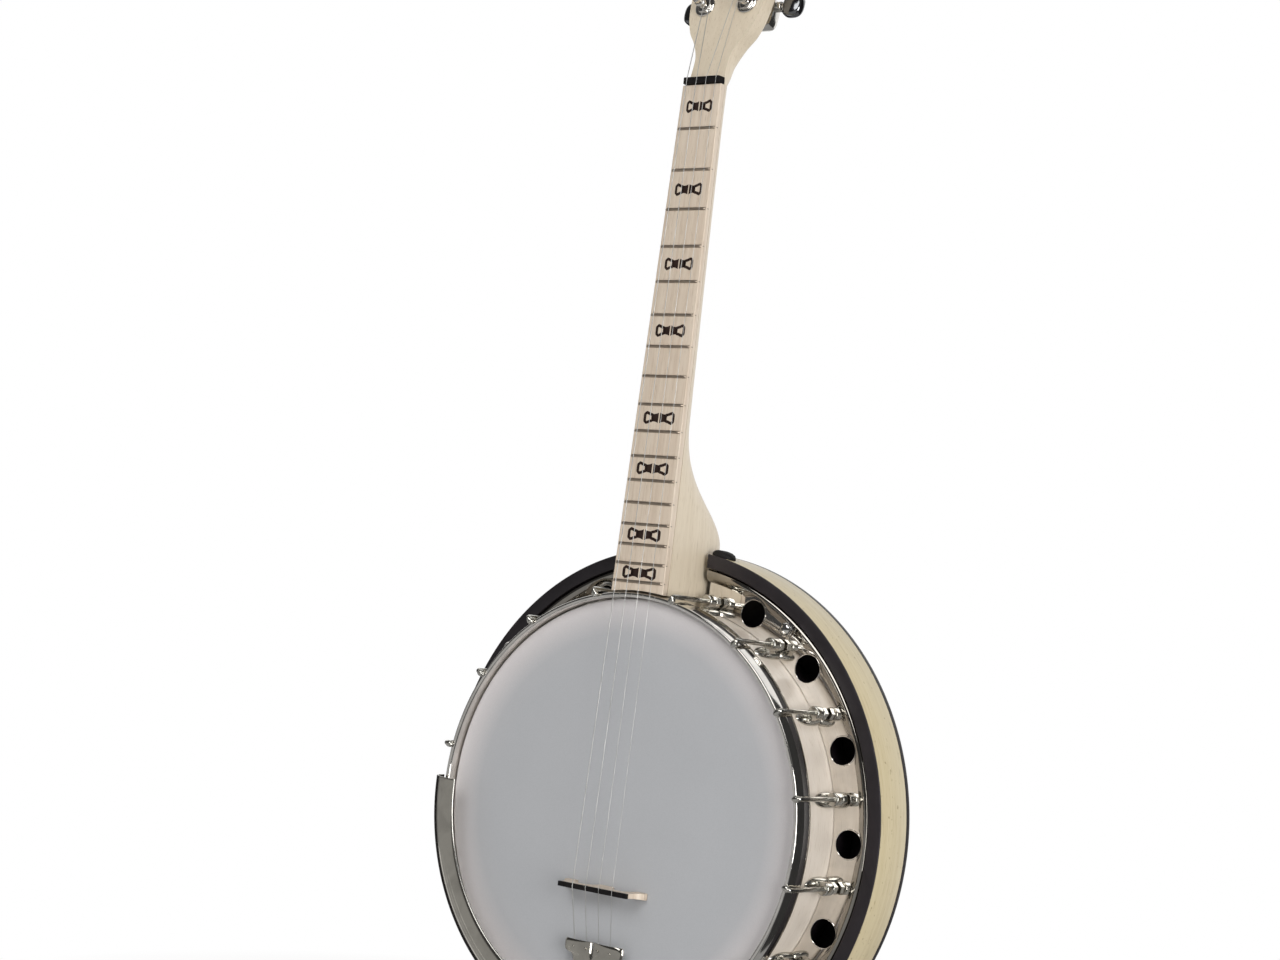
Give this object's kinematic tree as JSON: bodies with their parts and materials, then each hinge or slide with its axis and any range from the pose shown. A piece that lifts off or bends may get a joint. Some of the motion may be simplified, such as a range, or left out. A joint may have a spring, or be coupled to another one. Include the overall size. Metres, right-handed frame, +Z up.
{
  "type": "banjo",
  "caption": "Tenor resonator banjo: maple neck with frets and inlays, frosted drum head on a hooked rim, pierced flange, blonde bowl resonator, tailpiece and armrest.",
  "frame": {"origin": "the hanger seat: centre of the yoke that holds the banjo, under the headstock's flare, 500 mm above the centre of the drum head", "axes": "+Z up along the neck towards the headstock, -Y the way the drum head faces, +X to the right as the player's audience sees it"},
  "size_m": [0.346, 0.0959, 0.7913],
  "materials": {
    "maple": "satin",
    "resonator_maple": "satin",
    "black_composite": "satin",
    "black_lacquer": "satin",
    "frosted_head": "frosted",
    "nickel": "polished nickel",
    "chrome": "polished",
    "dark_chrome": "polished",
    "steel": "drawn"
  },
  "bodies": {
    "pot": {"neck": "maple", "nut": "black_composite", "rim": "maple", "head": "frosted_head", "flesh_hoop": "nickel", "tension_hoop": "nickel", "flange": "nickel", "coordinator_rod": "steel", "bridge": "maple", "bridge_cap": "black_composite", "tailpiece_bracket": "nickel", "armrest": "chrome", "armrest_clamp_1": "nickel", "armrest_clamp_2": "nickel", "string_1": "steel", "string_2": "steel", "string_3": "steel", "string_4": "steel", "tuner_housing_1": "nickel", "tuner_housing_2": "nickel", "tuner_housing_3": "nickel", "tuner_housing_4": "nickel", "hook_bracket_01": "nickel", "hook_bracket_02": "nickel", "hook_bracket_03": "nickel", "hook_bracket_04": "nickel", "hook_bracket_05": "nickel", "hook_bracket_06": "nickel", "hook_bracket_07": "nickel", "hook_bracket_08": "nickel", "hook_bracket_09": "nickel", "hook_bracket_10": "nickel", "hook_bracket_11": "nickel", "hook_bracket_12": "nickel", "hook_bracket_13": "nickel", "hook_bracket_14": "nickel", "hook_bracket_15": "nickel", "hook_bracket_16": "nickel"},
    "tailpiece": {"tailpiece": "chrome"},
    "tailpiece_screw": {"tailpiece_screw": "nickel"},
    "resonator": {"resonator_wall": "resonator_maple", "resonator_back": "resonator_maple", "resonator_lug_1": "steel", "resonator_lug_2": "steel", "resonator_lug_3": "steel", "resonator_lug_4": "steel", "edge_guard_1": "black_lacquer", "edge_guard_2": "black_lacquer"},
    "thumbscrew_1": {"thumbscrew_1": "nickel"},
    "tuner_button_1": {"tuner_button_1": "dark_chrome"},
    "tuner_post_1": {"tuner_post_1": "nickel"},
    "thumbscrew_2": {"thumbscrew_2": "nickel"},
    "tuner_button_2": {"tuner_button_2": "dark_chrome"},
    "tuner_post_2": {"tuner_post_2": "nickel"},
    "thumbscrew_3": {"thumbscrew_3": "nickel"},
    "tuner_button_3": {"tuner_button_3": "dark_chrome"},
    "tuner_post_3": {"tuner_post_3": "nickel"},
    "thumbscrew_4": {"thumbscrew_4": "nickel"},
    "tuner_button_4": {"tuner_button_4": "dark_chrome"},
    "tuner_post_4": {"tuner_post_4": "nickel"}
  },
  "joints": [
    {"name": "resonator_off", "type": "slide", "parent": "pot", "child": "resonator", "axis": [0, 1, 0], "range_m": [0, 0.12]},
    {"name": "tailpiece_tilt", "type": "hinge", "parent": "pot", "child": "tailpiece", "pos_m": [0, -0.0248, -0.6462], "axis": [1, 0, 0], "range_deg": [-2, 2.5]},
    {"name": "tailpiece_screw_turn", "type": "hinge", "parent": "tailpiece", "child": "tailpiece_screw", "pos_m": [0, -0.0276, -0.6386], "axis": [0, 1, 0], "continuous": true},
    {"name": "thumbscrew_turn_1", "type": "hinge", "parent": "pot", "child": "thumbscrew_1", "pos_m": [0.09434, 0.0244, -0.37251], "axis": [0, 1, 0], "continuous": true},
    {"name": "thumbscrew_turn_2", "type": "hinge", "parent": "pot", "child": "thumbscrew_2", "pos_m": [0.12749, 0.0244, -0.59434], "axis": [0, 1, 0], "continuous": true},
    {"name": "thumbscrew_turn_3", "type": "hinge", "parent": "pot", "child": "thumbscrew_3", "pos_m": [-0.09434, 0.0244, -0.62749], "axis": [0, 1, 0], "continuous": true},
    {"name": "thumbscrew_turn_4", "type": "hinge", "parent": "pot", "child": "thumbscrew_4", "pos_m": [-0.12749, 0.0244, -0.40566], "axis": [0, 1, 0], "continuous": true},
    {"name": "tuner_turn_1", "type": "hinge", "parent": "pot", "child": "tuner_button_1", "pos_m": [-0.0288, 0.02599, 0.03818], "axis": [-1, 0, 0], "continuous": true},
    {"name": "tuner_turn_2", "type": "hinge", "parent": "pot", "child": "tuner_button_2", "pos_m": [-0.0288, 0.03579, 0.07902], "axis": [-1, 0, 0], "continuous": true},
    {"name": "tuner_turn_3", "type": "hinge", "parent": "pot", "child": "tuner_button_3", "pos_m": [0.0288, 0.03579, 0.07902], "axis": [1, 0, 0], "continuous": true},
    {"name": "tuner_turn_4", "type": "hinge", "parent": "pot", "child": "tuner_button_4", "pos_m": [0.0288, 0.02599, 0.03818], "axis": [1, 0, 0], "continuous": true},
    {"name": "post_turn_1", "type": "hinge", "parent": "pot", "child": "tuner_post_1", "pos_m": [-0.0168, 0.00554, 0.03568], "axis": [0, 0.9724, -0.2334], "continuous": true},
    {"name": "post_turn_2", "type": "hinge", "parent": "pot", "child": "tuner_post_2", "pos_m": [-0.0168, 0.01534, 0.07652], "axis": [0, 0.9724, -0.2334], "continuous": true},
    {"name": "post_turn_3", "type": "hinge", "parent": "pot", "child": "tuner_post_3", "pos_m": [0.0168, 0.01534, 0.07652], "axis": [0, 0.9724, -0.2334], "continuous": true},
    {"name": "post_turn_4", "type": "hinge", "parent": "pot", "child": "tuner_post_4", "pos_m": [0.0168, 0.00554, 0.03568], "axis": [0, 0.9724, -0.2334], "continuous": true}
  ],
  "couplings": [
    {"joint": "post_turn_1", "follows": "tuner_turn_1", "ratio": 0.071429},
    {"joint": "post_turn_2", "follows": "tuner_turn_2", "ratio": 0.071429},
    {"joint": "post_turn_3", "follows": "tuner_turn_3", "ratio": -0.071429},
    {"joint": "post_turn_4", "follows": "tuner_turn_4", "ratio": -0.071429}
  ]
}
